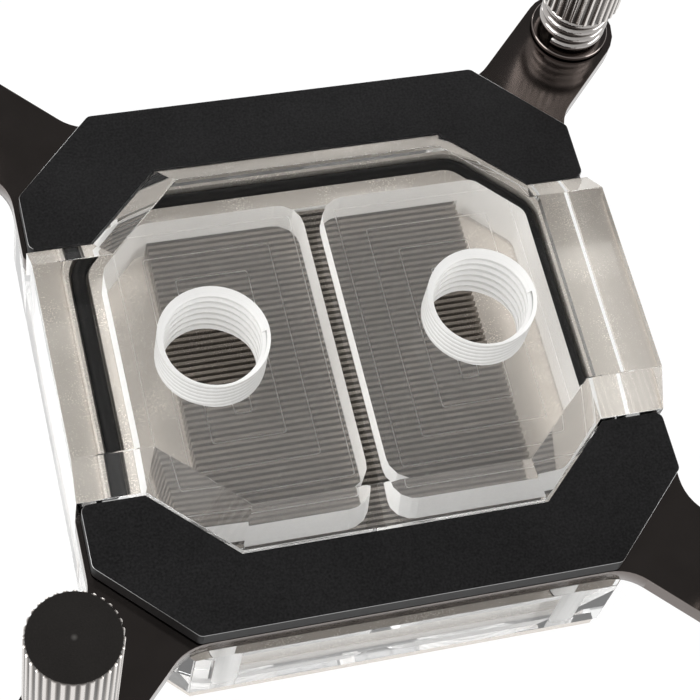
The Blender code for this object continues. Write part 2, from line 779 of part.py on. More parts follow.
def build_thumb_screws(parts, cutters, materials):
    """The four sets of thumb screw, spring, spring seat and retaining clip."""
    meshes = {
        "thumb_screw": (thumb_screw_mesh(cutters), materials["nickel"], 25),
        "spring": (spring_mesh(cutters), materials["spring"], 50),
        "spring_seat": (seat_mesh(cutters), materials["nickel"], 25),
        "retaining_clip": (clip_mesh(cutters), materials["spring"], 25),
    }
    for corner, (side, end) in CORNERS.items():
        axis = bpy.data.objects.new("axis_" + corner, None)
        axis.location = (side * HOLE_PATTERN / 2, end * HOLE_PATTERN / 2, 0.0)
        parts.objects.link(axis)
        for kind, (mesh, material, angle) in meshes.items():
            piece = bpy.data.objects.new(f"{kind}_{corner}", mesh)
            piece.parent = axis
            parts.objects.link(piece)
            finish(piece, material, smooth_angle=angle)


def build():
    clear_scene()
    parts = new_collection("cpu_water_block")
    cutters = new_collection("cutters")
    materials = {
        "acrylic": new_material("clear_acrylic", (0.95, 0.95, 0.94), 0.03, 0.0, 1.0),
        "plate": new_material("nickel_plated_copper", (0.66, 0.63, 0.59), 0.22, 1.0),
        "cover": new_material("black_anodised_aluminium", (0.018, 0.018, 0.018), 0.48, 0.3),
        "bracket": new_material("black_nickel_steel", (0.10, 0.09, 0.085), 0.16, 1.0),
        "nickel": new_material("turned_nickel", (0.42, 0.40, 0.38), 0.24, 1.0),
        "spring": new_material("polished_spring_steel", (0.55, 0.53, 0.51), 0.12, 1.0),
        "screw": new_material("black_screw_steel", (0.06, 0.06, 0.06), 0.35, 0.9),
        "rubber": new_material("black_rubber", (0.02, 0.02, 0.02), 0.7, 0.0),
    }
    build_cold_plate(parts, cutters, materials["plate"])
    build_acrylic_top(parts, cutters, materials["acrylic"])
    build_main_seal(parts, materials["rubber"])
    for end in (-1, 1):
        build_cover(end, parts, cutters, materials["cover"])
        build_bracket(end, parts, cutters, materials["bracket"])
    build_clamp_screws(parts, cutters, materials["screw"])
    build_thumb_screws(parts, cutters, materials)


build()
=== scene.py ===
from math import cos, pi, radians, sin, sqrt

import bmesh
import bpy
from mathutils import Euler, Matrix, Vector


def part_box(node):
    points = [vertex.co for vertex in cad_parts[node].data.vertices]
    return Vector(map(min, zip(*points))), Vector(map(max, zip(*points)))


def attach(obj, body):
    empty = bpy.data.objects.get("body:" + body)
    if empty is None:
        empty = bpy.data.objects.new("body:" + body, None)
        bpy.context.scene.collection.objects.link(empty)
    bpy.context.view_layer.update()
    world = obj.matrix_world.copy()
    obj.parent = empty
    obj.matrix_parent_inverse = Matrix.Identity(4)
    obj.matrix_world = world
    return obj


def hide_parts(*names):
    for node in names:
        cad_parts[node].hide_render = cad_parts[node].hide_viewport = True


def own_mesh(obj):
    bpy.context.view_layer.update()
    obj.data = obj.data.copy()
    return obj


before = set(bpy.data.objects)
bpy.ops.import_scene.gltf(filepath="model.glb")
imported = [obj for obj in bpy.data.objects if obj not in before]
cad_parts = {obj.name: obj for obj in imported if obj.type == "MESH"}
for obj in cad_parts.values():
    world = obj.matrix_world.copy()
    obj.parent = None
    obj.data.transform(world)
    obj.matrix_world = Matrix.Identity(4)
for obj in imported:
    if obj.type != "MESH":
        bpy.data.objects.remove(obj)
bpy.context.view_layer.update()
print("frame loaded:", len(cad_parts), "nodes")

mm = 0.001
corners = {
    "front_left": (-1, -1),
    "front_right": (1, -1),
    "back_left": (-1, 1),
    "back_right": (1, 1),
}
studAxis = 40.0 * mm  # the thumb screws stand on a square of twice this
portThread = {
    "centre": 16.2 * mm, "major": 13.157 * mm, "minor": 11.45 * mm, "pitch": 1.337 * mm,
    "slope": 0.5206,  # tangent of half the 55 degree thread angle
    "overlap": 0.10 * mm, "steps": 40, "start": 0.55 * mm, "depth": 8.8 * mm, "runOut": 0.6 * mm,
}


# Small helpers for meshes

def meshFrom(name, bm):
    mesh = bpy.data.meshes.new(name)
    bm.to_mesh(mesh)
    bm.free()
    return mesh


def linkedObject(name, data):
    item = bpy.data.objects.new(name, data)
    bpy.context.scene.collection.objects.link(item)
    return item


def newPiece(name, bm, body, materials, smoothAngle=30):
    # smooth shading stays on curves: sharp corners and the borders of wide flats are marked sharp
    wide = 10.0 * mm * mm
    for face in bm.faces:
        face.smooth = True
    for edge in bm.edges:
        flat = any(face.calc_area() > wide for face in edge.link_faces)
        edge.smooth = edge.calc_face_angle(0.0) < radians(smoothAngle) and not flat
    mesh = meshFrom(name, bm)
    for material in materials:
        mesh.materials.append(material)
    piece = linkedObject(name, mesh)
    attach(piece, body)
    return piece


def mergedCopy(nodeName):
    # the CAD node with its triangles joined into flat faces again
    bm = bmesh.new()
    bm.from_mesh(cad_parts[nodeName].data)
    bmesh.ops.remove_doubles(bm, verts=bm.verts, dist=0.002 * mm)
    flat = radians(0.2)
    bmesh.ops.dissolve_limit(bm, angle_limit=flat, verts=bm.verts, edges=bm.edges)
    for face in bm.faces:
        face.material_index = 0
    return bm


def bevelEdges(bm, edges, width, segments=2):
    bmesh.ops.bevel(
        bm, geom=edges, offset=width, offset_type="OFFSET", segments=segments,
        profile=0.5, affect="EDGES", clamp_overlap=True, material=-1,
    )


def grownRing(bm, edges):
    # extrudes an open ring of edges once and gives back the new ring
    made = bmesh.ops.extrude_edge_only(bm, edges=edges)["geom"]
    newVerts = [item for item in made if isinstance(item, bmesh.types.BMVert)]
    newEdges = [item for item in made if isinstance(item, bmesh.types.BMEdge)]
    ringEdges = [edge for edge in newEdges if all(vert in newVerts for vert in edge.verts)]
    return newVerts, ringEdges


def followStations(bm, stations, segments, shape=None):
    # grows a circle through each (radius, height); shape gives the fluted radius at an angle
    verts = bmesh.ops.create_circle(bm, cap_ends=False, segments=segments, radius=1.0)["verts"]
    firstRing = ring = list(bm.edges)
    for index, (radius, height) in enumerate(stations):
        if index:
            verts, ring = grownRing(bm, ring)
        for vert in verts:
            direction = Vector((vert.co.x, vert.co.y, 0.0)).normalized()
            reach = min(radius, shape(direction)) if shape else radius
            vert.co = (direction.x * reach, direction.y * reach, height)
    return firstRing, ring


def moveToCorner(bm, corner):
    side, end = corners[corner]
    bmesh.ops.translate(bm, verts=bm.verts, vec=(side * studAxis, end * studAxis, 0.0))


# Small helpers for materials

def addNode(tree, kind, x, y, **settings):
    node = tree.nodes.new(kind)
    node.location = (x, y)
    for name, value in settings.items():
        setattr(node, name, value)
    return node


def mathNode(tree, operation, first, second, x, y):
    node = addNode(tree, "ShaderNodeMath", x, y, operation=operation)
    for index, value in enumerate((first, second)):
        if value is None:
            continue
        if isinstance(value, (int, float)):
            node.inputs[index].default_value = value
        else:
            tree.links.new(value, node.inputs[index])
    return node.outputs[0]


def objectAxes(tree, x, y):
    coord = addNode(tree, "ShaderNodeTexCoord", x, y)
    split = addNode(tree, "ShaderNodeSeparateXYZ", x + 150, y)
    tree.links.new(coord.outputs["Object"], split.inputs["Vector"])
    return split.outputs


def newGroup(name, inputs, outputs):
    tree = bpy.data.node_groups.new(name, "ShaderNodeTree")
    for socket, default in inputs.items():
        item = tree.interface.new_socket(socket, in_out="INPUT", socket_type="NodeSocketFloat")
        item.default_value = default
    for socket in outputs:
        tree.interface.new_socket(socket, in_out="OUTPUT", socket_type="NodeSocketFloat")
    entry = addNode(tree, "NodeGroupInput", -900, 0)
    leave = addNode(tree, "NodeGroupOutput", 600, 0)
    return tree, entry, leave


def useGroup(tree, group, x, y, values):
    node = addNode(tree, "ShaderNodeGroup", x, y, node_tree=group)
    for name, value in values.items():
        node.inputs[name].default_value = value
    return node


def useGrain(tree, look, x, y):
    return useGroup(tree, grainGroup, x, y, {"Scale": look["grain"], "Cloud": look["cloud"]})


def newMaterial(name, constants):
    material = bpy.data.materials.new(name)
    material.use_nodes = True
    tree = material.node_tree
    shader = tree.nodes["Principled BSDF"]
    for socket, value in constants.items():
        shader.inputs[socket].default_value = value
    return material, tree, shader


def colorRamp(tree, factor, stops, x, y):
    ramp = addNode(tree, "ShaderNodeValToRGB", x, y)
    elements = ramp.color_ramp.elements
    while len(elements) < len(stops):
        elements.new(0.5)
    for element, (position, color) in zip(elements, stops):
        element.position = position
        element.color = (*color, 1.0)
    tree.links.new(factor, ramp.inputs["Fac"])
    return ramp.outputs["Color"]


def grainColor(tree, grain, look, x=-450, y=200):
    return colorRamp(tree, grain.outputs["Value"], [(0.3, look["dark"]), (0.7, look["light"])], x, y)


def valueRange(tree, factor, low, high, x, y, start=0.0, stop=1.0):
    # goes from low to high while the factor goes from start to stop
    node = addNode(tree, "ShaderNodeMapRange", x, y)
    tree.links.new(factor, node.inputs["Value"])
    for socket, value in {"From Min": start, "From Max": stop, "To Min": low, "To Max": high}.items():
        node.inputs[socket].default_value = value
    return node.outputs["Result"]


def mixColors(tree, factor, first, second, x, y, blend="MIX"):
    # second is a socket or a plain colour
    node = addNode(tree, "ShaderNodeMix", x, y, data_type="RGBA", blend_type=blend)
    tree.links.new(factor, node.inputs["Factor"])
    tree.links.new(first, node.inputs["A"])
    if isinstance(second, tuple):
        node.inputs["B"].default_value = (*second, 1.0)
    else:
        tree.links.new(second, node.inputs["B"])
    return node.outputs["Result"]


def roughInto(tree, shader, factor, span, y=-50):
    low, high = span
    rough = valueRange(tree, factor, low, high, -450, y)
    tree.links.new(rough, shader.inputs["Roughness"])


def bumpInto(tree, shader, height, bump):
    distance, strength = bump
    node = addNode(tree, "ShaderNodeBump", -300, -300)
    node.inputs["Distance"].default_value = distance
    node.inputs["Strength"].default_value = strength
    tree.links.new(height, node.inputs["Height"])
    tree.links.new(node.outputs["Normal"], shader.inputs["Normal"])


# Shared effects

def makeGrainGroup():
    # fine speckle over slower cloudiness: blasting, lapping or plating
    look = {"fineDetail": 3.0, "slowDetail": 2.0, "slowShare": 0.04}
    tree, entry, leave = newGroup("surfaceGrain", {"Scale": 4000.0, "Cloud": 0.3}, ["Value", "Height"])
    coord = addNode(tree, "ShaderNodeTexCoord", -700, 200)
    fine = addNode(tree, "ShaderNodeTexNoise", -400, 200)
    fine.inputs["Detail"].default_value = look["fineDetail"]
    tree.links.new(coord.outputs["Object"], fine.inputs["Vector"])
    tree.links.new(entry.outputs["Scale"], fine.inputs["Scale"])
    slow = addNode(tree, "ShaderNodeTexNoise", -400, -100)
    slow.inputs["Detail"].default_value = look["slowDetail"]
    slowScale = mathNode(tree, "MULTIPLY", entry.outputs["Scale"], look["slowShare"], -600, -150)
    tree.links.new(coord.outputs["Object"], slow.inputs["Vector"])
    tree.links.new(slowScale, slow.inputs["Scale"])
    mixed = addNode(tree, "ShaderNodeMix", -100, 100, data_type="FLOAT")
    tree.links.new(entry.outputs["Cloud"], mixed.inputs["Factor"])
    tree.links.new(fine.outputs["Fac"], mixed.inputs["A"])
    tree.links.new(slow.outputs["Fac"], mixed.inputs["B"])
    tree.links.new(mixed.outputs["Result"], leave.inputs["Value"])
    tree.links.new(fine.outputs["Fac"], leave.inputs["Height"])
    return tree


def makeTurningGroup():
    # rings round each of the four upright screw axes, as a lathe leaves them
    tree, entry, leave = newGroup("turningMarks", {"Pitch": 0.25 * mm}, ["Value", "Distance"])
    axes = objectAxes(tree, -800, 200)
    squares = []
    for index, axis in enumerate("XY"):
        y = 300 - 200 * index
        side = mathNode(tree, "ABSOLUTE", axes[axis], None, -500, y)
        offset = mathNode(tree, "SUBTRACT", side, studAxis, -350, y)
        squares.append(mathNode(tree, "MULTIPLY", offset, offset, -200, y))
    total = mathNode(tree, "ADD", squares[0], squares[1], -50, 200)
    distance = mathNode(tree, "SQRT", total, None, 80, 200)
    turns = mathNode(tree, "DIVIDE", distance, entry.outputs["Pitch"], 220, 200)
    wave = mathNode(tree, "SINE", mathNode(tree, "MULTIPLY", turns, 2 * pi, 300, 60), None, 420, 60)
    half = mathNode(tree, "MULTIPLY_ADD", wave, 0.5, 480, 60)
    half.node.inputs[2].default_value = 0.5
    tree.links.new(half, leave.inputs["Value"])
    tree.links.new(distance, leave.inputs["Distance"])
    return tree


def makeToolPathGroup():
    # nested rounded rectangles over each chamber's ceiling, one for each pass of the cutter
    chamber = {"middle": 13.8 * mm, "halfWidth": 12.6 * mm, "halfDepth": 19.1 * mm, "round": 0.6 * mm}
    lineSharpness = 24.0
    tree, entry, leave = newGroup("toolPath", {"Pitch": 1.5 * mm}, ["Value"])
    axes = objectAxes(tree, -900, 200)
    across = mathNode(tree, "ABSOLUTE", axes["X"], None, -600, 300)
    across = mathNode(tree, "SUBTRACT", across, chamber["middle"], -450, 300)
    across = mathNode(tree, "ABSOLUTE", across, None, -300, 300)
    across = mathNode(tree, "SUBTRACT", across, chamber["halfWidth"], -150, 300)
    along = mathNode(tree, "ABSOLUTE", axes["Y"], None, -600, 100)
    along = mathNode(tree, "SUBTRACT", along, chamber["halfDepth"], -450, 100)
    edge = mathNode(tree, "SMOOTH_MAX", across, along, 0, 200)
    edge.node.inputs[2].default_value = chamber["round"]
    passes = mathNode(tree, "DIVIDE", edge, entry.outputs["Pitch"], 150, 200)
    ridge = mathNode(tree, "PINGPONG", passes, 0.5, 300, 200)
    full = mathNode(tree, "MULTIPLY", ridge, 2.0, 380, 80)
    sharp = mathNode(tree, "POWER", full, lineSharpness, 450, 200)
    tree.links.new(sharp, leave.inputs["Value"])
    return tree


grainGroup = makeGrainGroup()
turningGroup = makeTurningGroup()
toolPathGroup = makeToolPathGroup()


# Finishes

acrylicIndex = 1.49


def acrylic(through):
    return {"IOR": acrylicIndex, "Transmission Weight": through}


def passShadowRays(tree, shader, tint):
    # lamps light what lies inside the clear block, as they do through real acrylic
    output = tree.nodes["Material Output"]
    lightPath = addNode(tree, "ShaderNodeLightPath", 100, 500)
    clear = addNode(tree, "ShaderNodeBsdfTransparent", 100, -200)
    clear.inputs["Color"].default_value = (tint, tint, tint, 1.0)
    mix = addNode(tree, "ShaderNodeMixShader", 350, 200)
    tree.links.new(lightPath.outputs["Is Shadow Ray"], mix.inputs["Fac"])
    tree.links.new(shader.outputs["BSDF"], mix.inputs[1])
    tree.links.new(clear.outputs["BSDF"], mix.inputs[2])
    tree.links.new(mix.outputs["Shader"], output.inputs["Surface"])


def makeGrained(name, look, constants):
    # one recipe for most finishes: colour and roughness drift with a fine grain
    material, tree, shader = newMaterial(name, constants)
    grain = useGrain(tree, look, -800, 0)
    tree.links.new(grainColor(tree, grain, look), shader.inputs["Base Color"])
    roughInto(tree, shader, grain.outputs["Value"], look["roughness"])
    bumpInto(tree, shader, grain.outputs["Height"], look["bump"])
    return material, tree, shader


def makeMetal(name, look):
    return makeGrained(name, look, {"Metallic": 1.0})[0]


def makeClearAcrylic():
    look = {"color": (0.985, 0.99, 0.985, 1.0), "grain": 900.0, "cloud": 0.6, "haze": (0.0, 0.025), "shadow": 0.98}
    material, tree, shader = newMaterial("clearAcrylic", acrylic(1.0))
    shader.inputs["Base Color"].default_value = look["color"]
    grain = useGrain(tree, look, -700, 0)
    roughInto(tree, shader, grain.outputs["Value"], look["haze"], 0)
    passShadowRays(tree, shader, look["shadow"])
    return material


def makeMilledAcrylic():
    # chamber ceilings: a faint haze, with the edges of the cutter's passes as thin lines
    look = {
        "between": (0.80, 0.785, 0.765), "line": (0.97, 0.96, 0.94), "fade": (0.2, 0.9),
        "through": 0.92, "pitch": 3.3 * mm, "roughness": (0.10, 0.45), "shadow": 0.93,
    }
    material, tree, shader = newMaterial("milledAcrylic", acrylic(look["through"]))
    passes = useGroup(tree, toolPathGroup, -700, 0, {"Pitch": look["pitch"]})
    stops = zip(look["fade"], (look["between"], look["line"]))
    color = colorRamp(tree, passes.outputs["Value"], list(stops), -450, 200)
    tree.links.new(color, shader.inputs["Base Color"])
    roughInto(tree, shader, passes.outputs["Value"], look["roughness"])
    passShadowRays(tree, shader, look["shadow"])
    return material


def makeFrostedAcrylic():
    # walls left by the cutter
    look = {
        "through": 0.10, "grain": 5000.0, "cloud": 0.4, "bump": (0.01 * mm, 0.5), "shadow": 0.92,
        "dark": (0.90, 0.89, 0.875), "light": (0.98, 0.97, 0.955), "roughness": (0.35, 0.6),
    }
    material, tree, shader = makeGrained("frostedAcrylic", look, acrylic(look["through"]))
    passShadowRays(tree, shader, look["shadow"])
    return material


def makeTappedAcrylic():
    # the ports' threads: painted shade darkens the grooves, and a lighter painted copy is used where the cut is seen
    # from behind, through the block
    look = {
        "through": 0.10, "grain": 5000.0, "cloud": 0.3, "roughness": (0.35, 0.55), "shadow": 0.92,
        "crest": (0.80, 0.795, 0.78), "groove": (0.03, 0.028, 0.026), "fade": (0.38, 0.72),
        "behindCrestLit": (0.99, 0.985, 0.975), "behindGrooveShade": (0.60, 0.59, 0.575), "behindFade": (0.50, 0.90),
        "mouth": (0.5 * mm, 0.3 * mm),
    }
    material, tree, shader = newMaterial("tappedAcrylic", acrylic(look["through"]))
    axes = objectAxes(tree, -1200, 200)
    side = mathNode(tree, "ABSOLUTE", axes["X"], None, -900, 300)
    across = mathNode(tree, "SUBTRACT", side, portThread["centre"], -800, 300)
    squares = [mathNode(tree, "MULTIPLY", value, value, -700, 200) for value in (across, axes["Y"])]
    distance = mathNode(tree, "SQRT", mathNode(tree, "ADD", *squares, -600, 200), None, -500, 200)
    depth = valueRange(tree, distance, 0.0, 1.0, -400, 200, portThread["minor"] / 2, portThread["major"] / 2)
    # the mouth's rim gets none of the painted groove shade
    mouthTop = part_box("acrylic_top")[1][2]
    rimStart, rimStop = (mouthTop - drop for drop in look["mouth"])
    below = valueRange(tree, axes["Z"], 1.0, 0.0, -550, 0, rimStart, rimStop)
    depth = mathNode(tree, "MULTIPLY", depth, below, -350, 100)
    # painted shade: seen from the port, the colour goes from the crest's to near black down in the grooves
    stops = zip(look["fade"], (look["crest"], look["groove"]))
    shadedFromPort = colorRamp(tree, depth, list(stops), -250, 200)
    # painted light: seen through the block, a lighter copy with fainter painted groove shade
    stops = zip(look["behindFade"], (look["behindCrestLit"], look["behindGrooveShade"]))
    litFromBlock = colorRamp(tree, depth, list(stops), -250, 450)
    # the side the cut is seen from picks the lit or the shaded painted copy
    geometry = addNode(tree, "ShaderNodeNewGeometry", -250, 700)
    seen = mixColors(tree, geometry.outputs["Backfacing"], shadedFromPort, litFromBlock, 0, 400)
    tree.links.new(seen, shader.inputs["Base Color"])
    grain = useGrain(tree, look, -800, -150)
    roughInto(tree, shader, grain.outputs["Value"], look["roughness"], -100)
    passShadowRays(tree, shader, look["shadow"])
    return material


def makeNickelPlate():
    look = {
        "grain": 6000.0, "cloud": 0.3, "bump": (0.0005 * mm, 0.4), "metallic": 0.5,
        "dark": (0.72, 0.665, 0.605), "light": (0.77, 0.715, 0.655), "roughness": (0.25, 0.29),
        "finShade": (0.31, 0.295, 0.28), "landTop": 4.8 * mm, "finFoot": (0.05 * mm, 0.15 * mm),
    }
    material, tree, shader = makeGrained("nickelPlate", look, {"Metallic": look["metallic"]})
    # the cut fins stand above the land; their colour is darkened as painted shade for the narrow gaps between them
    start, stop = (look["landTop"] + rise for rise in look["finFoot"])
    finShadeMask = valueRange(tree, objectAxes(tree, -900, 500)["Z"], 0.0, 1.0, -600, 500, start, stop)
    plated = shader.inputs["Base Color"].links[0].from_socket
    finShaded = mixColors(tree, finShadeMask, plated, look["finShade"], -150, 400, blend="MULTIPLY")
    tree.links.new(finShaded, shader.inputs["Base Color"])
    return material


def makeBlackNickel():
    look = {
        "grain": 5000.0, "cloud": 0.6, "bump": (0.001 * mm, 0.4),
        "dark": (0.16, 0.138, 0.128), "light": (0.20, 0.174, 0.163), "roughness": (0.12, 0.18),
    }
    return makeMetal("blackNickel", look)


def makeSpringSteel():
    look = {
        "grain": 3000.0, "cloud": 0.5, "bump": (0.001 * mm, 0.4),
        "dark": (0.36, 0.34, 0.325), "light": (0.44, 0.415, 0.40), "roughness": (0.06, 0.11),
    }
    return makeMetal("springSteel", look)


def makeFlutedNickel():
    # painted highlight on the lands between the flutes and painted shade down in their grooves
    look = {
        "groove": (0.09, 0.082, 0.076), "flankShade": (0.30, 0.28, 0.265), "land": (0.74, 0.70, 0.67), "flankAt": 0.55,
        "inner": 4.80 * mm, "outer": 4.97 * mm, "grain": 5000.0, "cloud": 0.3, "roughness": (0.20, 0.34),
    }
    material, tree, shader = newMaterial("flutedNickel", {"Metallic": 1.0})
    rings = useGroup(tree, turningGroup, -900, 200, {})
    level = valueRange(tree, rings.outputs["Distance"], 0.0, 1.0, -700, 200, look["inner"], look["outer"])
    # painted shade and highlight: colour by distance from the screw axis, dark in the grooves, bright on the lands
    stops = [(0.0, look["groove"]), (look["flankAt"], look["flankShade"]), (1.0, look["land"])]
    tree.links.new(colorRamp(tree, level, stops, -450, 200), shader.inputs["Base Color"])
    grain = useGrain(tree, look, -900, -100)
    roughInto(tree, shader, grain.outputs["Value"], look["roughness"])
    return material


def makeDarkTurned():
    # the thumb screws' flat ends: dark satin with faint lathe rings
    look = {
        "dark": (0.011, 0.0095, 0.0085), "light": (0.018, 0.0155, 0.014), "roughness": (0.42, 0.56),
        "metallic": 0.35, "specular": 0.3, "grain": 5000.0, "cloud": 0.4,
        "pitch": 0.22 * mm, "bump": (0.004 * mm, 0.35), "mark": (0.09, 0.085, 0.08), "markRadius": 0.4 * mm,
    }
    constants = {"Metallic": look["metallic"], "Specular IOR Level": look["specular"]}
    material, tree, shader = newMaterial("darkTurned", constants)
    grain = useGrain(tree, look, -800, 200)
    rings = useGroup(tree, turningGroup, -800, -100, {"Pitch": look["pitch"]})
    color = grainColor(tree, grain, look)
    middle = valueRange(tree, rings.outputs["Distance"], 1.0, 0.0, -450, 400, 0.0, look["markRadius"])
    marked = mixColors(tree, middle, color, look["mark"], -200, 300)
    tree.links.new(marked, shader.inputs["Base Color"])
    roughInto(tree, shader, grain.outputs["Value"], look["roughness"])
    bumpInto(tree, shader, rings.outputs["Value"], look["bump"])
    return material


def makeBlackAnodised():
    look = {
        "grain": 3600.0, "cloud": 0.2, "bump": (0.006 * mm, 0.5), "specular": 0.20,
        "dark": (0.002, 0.002, 0.0021), "light": (0.014, 0.0137, 0.0142), "roughness": (0.40, 0.56),
    }
    return makeGrained("blackAnodised", look, {"Specular IOR Level": look["specular"]})[0]


def makeCoverEdge():
    look = {
        "grain": 5000.0, "cloud": 0.4, "bump": (0.001 * mm, 0.4),
        "dark": (0.34, 0.34, 0.34), "light": (0.42, 0.42, 0.42), "roughness": (0.24, 0.34),
    }
    return makeMetal("coverEdge", look)


def makeSealRubber():
    look = {
        "grain": 2500.0, "cloud": 0.5, "bump": (0.005 * mm, 0.4), "specular": 0.12,
        "dark": (0.004, 0.004, 0.004), "light": (0.009, 0.0085, 0.008), "roughness": (0.45, 0.65),
    }
    return makeGrained("sealRubber", look, {"Specular IOR Level": look["specular"]})[0]


def makeScrewBlack():
    look = {
        "grain": 4000.0, "cloud": 0.4, "bump": (0.003 * mm, 0.4),
        "dark": (0.035, 0.034, 0.033), "light": (0.06, 0.058, 0.056), "roughness": (0.30, 0.42),
    }
    return makeMetal("screwBlack", look)


finishes = {
    "clear": makeClearAcrylic(),
    "milled": makeMilledAcrylic(),
    "tapped": makeTappedAcrylic(),
    "frosted": makeFrostedAcrylic(),
    "plate": makeNickelPlate(),
    "bracket": makeBlackNickel(),
    "spring": makeSpringSteel(),
    "fluted": makeFlutedNickel(),
    "darkTurned": makeDarkTurned(),
    "cover": makeBlackAnodised(),
    "coverEdge": makeCoverEdge(),
    "seal": makeSealRubber(),
    "screw": makeScrewBlack(),
}
print("finishes made:", len(finishes))


# Pieces

clearBlock = {
    "looks": ("clear", "frosted", "milled", "tapped"), "rim": 0.07 * mm, "near": 0.05 * mm,
    "chambers": (27.5 * mm, 22.6 * mm), "screws": (20.6 * mm, 31.7 * mm), "screwHole": 1.7 * mm,
    "portSurround": 7.5 * mm, "plateauFoot": 12.8 * mm,
}


def threadCutter(side, top, bottom):
    # a helical bar of V section, wound down one port
    inner = portThread["minor"] / 2 - portThread["overlap"]
    outer = portThread["major"] / 2
    half = (outer - inner) * portThread["slope"]
    turns = (top - bottom) / portThread["pitch"]
    count = round(turns * portThread["steps"])
    centre = Vector((side * portThread["centre"], 0.0, 0.0))
    bm = bmesh.new()
    profile = [(inner, top - half), (outer, top), (inner, top + half)]
    verts = [bm.verts.new((centre.x + radius, 0.0, height)) for radius, height in profile]
    face = bm.faces.new(verts)
    bmesh.ops.spin(
        bm, geom=[face], cent=centre, axis=(0.0, 0.0, 1.0), dvec=(0.0, 0.0, -(top - bottom) / count),
        angle=-2 * pi * turns, steps=count, use_duplicate=False,
    )
    bmesh.ops.recalc_face_normals(bm, faces=bm.faces)
    return linkedObject("threadCutter", meshFrom("threadCutter", bm))


def cutFrom(mesh, cutters):
    # the mesh less each cutter, worked out once so that no live Boolean stays
    work = linkedObject("work", mesh)
    for cutter in cutters:
        modifier = work.modifiers.new(cutter.name, "BOOLEAN")
        modifier.operation = "DIFFERENCE"
        modifier.solver = "EXACT"
        modifier.object = cutter
    bpy.context.view_layer.update()
    depsgraph = bpy.context.evaluated_depsgraph_get()
    result = bpy.data.meshes.new_from_object(work.evaluated_get(depsgraph))
    for item in [work] + cutters:
        bpy.data.objects.remove(item, do_unlink=True)
    return result


def distanceToPort(x, y):
    return sqrt((abs(x) - portThread["centre"]) ** 2 + y * y)


def acrylicLook(center, normal, ceiling):
    x, y, z = center
    near = clearBlock["near"]
    upright = abs(normal.z) < 0.5
    if abs(z - ceiling) < near and normal.z < -0.99:
        return "milled"
    if distanceToPort(x, y) < portThread["major"] / 2 + near and z > ceiling and normal.z < 0.999:
        return "tapped"
    halfWidth, halfDepth = clearBlock["chambers"]
    if abs(x) < halfWidth and abs(y) < halfDepth and upright and z < ceiling:
        return "frosted"
    screwX, screwY = clearBlock["screws"]
    fromScrew = sqrt((abs(x) - screwX) ** 2 + (abs(y) - screwY) ** 2)
    if upright and fromScrew < clearBlock["screwHole"]:
        return "frosted"
    return "clear"


def onOuterRim(edge, halfWidth):
    # convex edges round the plateau and the block's outside, away from the ports
    if not edge.is_convex or edge.calc_face_angle(0.0) < radians(20):
        return False
    for vert in edge.verts:
        x, y, z = vert.co
        outside = max(abs(x), abs(y)) > halfWidth - 0.1 * mm
        high = z > clearBlock["plateauFoot"]
        if distanceToPort(x, y) < clearBlock["portSurround"] or not (outside or high):
            return False
    return True


def makeClearTop():
    halfWidth, _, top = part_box("acrylic_top")[1]
    ceiling = top - portThread["depth"]
    bm = mergedCopy("acrylic_top")
    bevelEdges(bm, [edge for edge in bm.edges if onOuterRim(edge, halfWidth)], clearBlock["rim"])
    blank = meshFrom("clearTopBlank", bm)
    start = top - portThread["start"]
    stop = ceiling - portThread["runOut"]
    threaded = cutFrom(blank, [threadCutter(side, start, stop) for side in (-1, 1)])
    bm = bmesh.new()
    bm.from_mesh(threaded)
    bmesh.ops.remove_doubles(bm, verts=bm.verts, dist=0.001 * mm)
    looks = clearBlock["looks"]
    for face in bm.faces:
        face.material_index = looks.index(acrylicLook(face.calc_center_median(), face.normal, ceiling))
    materials = [finishes[name] for name in looks]
    piece = newPiece("clearTop", bm, "block", materials, smoothAngle=25)
    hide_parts("acrylic_top")


def makeSealRing():
    seal = {"cut": 7.96 * mm, "bend": 4.0 * mm, "sides": 20, "bendSteps": 10}
    low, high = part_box("main_seal")
    cord = (high[2] - low[2]) / 2
    halfWidth = high[0] - cord
    halfDepth = high[1] - cord
    tangent = seal["bend"] * (sqrt(2.0) - 1.0)  # what a 45 degree bend takes from each straight
    front = 2 * (halfWidth - seal["cut"] - tangent)
    side = 2 * (halfDepth - seal["cut"] - tangent)
    diagonal = seal["cut"] * sqrt(2.0) - 2 * tangent
    bm = bmesh.new()
    ring = bmesh.ops.create_circle(bm, cap_ends=False, segments=seal["sides"], radius=cord)["verts"]
    bmesh.ops.rotate(bm, verts=ring, matrix=Matrix.Rotation(radians(90), 3, "Y"))
    place = Vector((-front / 2, -halfDepth, (low[2] + high[2]) / 2))
    bmesh.ops.translate(bm, verts=ring, vec=place)
    edges = list(bm.edges)
    heading = 0.0
    for length in (front, diagonal, side, diagonal) * 2:
        step = Vector((cos(heading), sin(heading), 0.0)) * length
        verts, edges = grownRing(bm, edges)
        bmesh.ops.translate(bm, verts=verts, vec=step)
        place = place + step
        centre = place + Vector((-sin(heading), cos(heading), 0.0)) * seal["bend"]
        made = bmesh.ops.spin(
            bm, geom=edges, cent=centre, axis=(0.0, 0.0, 1.0), angle=radians(45),
            steps=seal["bendSteps"], use_duplicate=False,
        )["geom_last"]
        edges = [item for item in made if isinstance(item, bmesh.types.BMEdge)]
        heading += radians(45)
        outward = Vector((sin(heading), -cos(heading), 0.0))
        place = centre + outward * seal["bend"]
    bmesh.ops.remove_doubles(bm, verts=bm.verts, dist=0.01 * mm)
    bmesh.ops.recalc_face_normals(bm, faces=bm.faces)
    piece = newPiece("sealRing", bm, "block", [finishes["seal"]], smoothAngle=60)
    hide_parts("main_seal")


